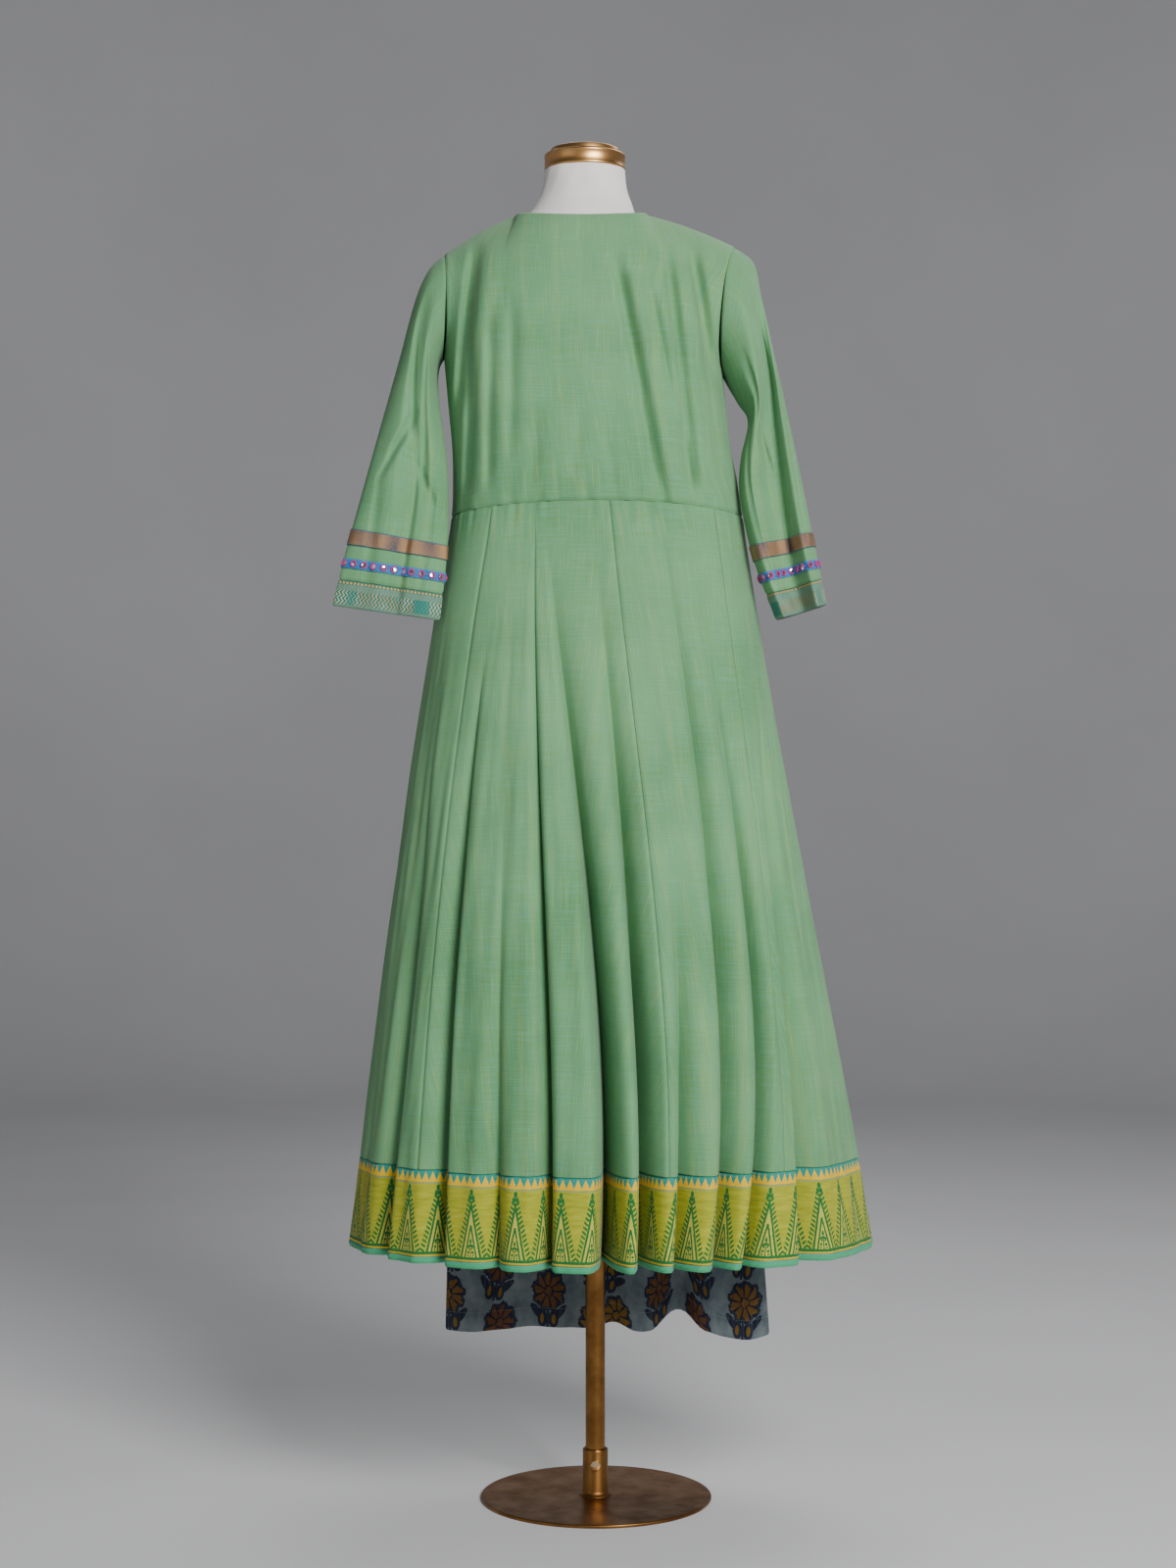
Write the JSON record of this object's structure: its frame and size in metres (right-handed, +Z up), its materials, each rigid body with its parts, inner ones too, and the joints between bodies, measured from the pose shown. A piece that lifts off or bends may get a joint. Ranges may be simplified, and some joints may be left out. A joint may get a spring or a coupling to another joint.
{
  "type": "kurti with pants on a dress form",
  "caption": "Long flared cotton kurti with loose sleeves, banded cuffs and a printed hem, over printed pants, dressed on a limbless dress form with a pole and a round base.",
  "frame": {"origin": "centre of the underside of the form's round base", "axes": "+Z up, -Y towards the garment's back, +X towards the wearer's right"},
  "size_m": [0.6587, 0.4615, 1.657],
  "materials": {
    "shot_cotton": "green cotton shot with turquoise, soft and matte",
    "cuff_print": "dark teal cotton with a printed zigzag border",
    "brocade": "woven brocade ribbon, indigo with copper thread",
    "mirror_tape": "blue tape with small stitched mirrors",
    "hem_print": "olive yellow cotton, block printed",
    "hem_binding": "bright green bias binding",
    "pants_print": "pale cotton with a scattered block print",
    "form_cloth": "off-white stretched cover",
    "cap_brass": "satin brass",
    "stand_bronze": "satin bronze lacquer",
    "bolt_steel": "plain steel"
  },
  "bodies": {
    "root": {"bodice_back": "shot_cotton", "bodice_front": "shot_cotton", "sleeve_left": "shot_cotton", "sleeve_right": "shot_cotton", "skirt_side_back_left": "shot_cotton", "skirt_back_left": "shot_cotton", "skirt_back_right": "shot_cotton", "skirt_side_back_right": "shot_cotton", "skirt_side_front_right": "shot_cotton", "skirt_front_right": "shot_cotton", "skirt_front_left": "shot_cotton", "skirt_side_front_left": "shot_cotton", "pants_left_back": "pants_print", "pants_left_front": "pants_print", "pants_right_back": "pants_print", "pants_right_front": "pants_print", "pants_waistband": "pants_print", "cuff_border_left": "cuff_print", "brocade_band_left": "brocade", "mirror_tape_left": "mirror_tape", "cuff_border_right": "cuff_print", "brocade_band_right": "brocade", "mirror_tape_right": "mirror_tape", "hem_border": "hem_print", "hem_binding": "hem_binding", "form_torso": "form_cloth", "neck_cap": "cap_brass", "pole": "stand_bronze", "base_collar": "stand_bronze", "base_disc": "stand_bronze", "collar_bolt": "bolt_steel"}
  },
  "joints": []
}
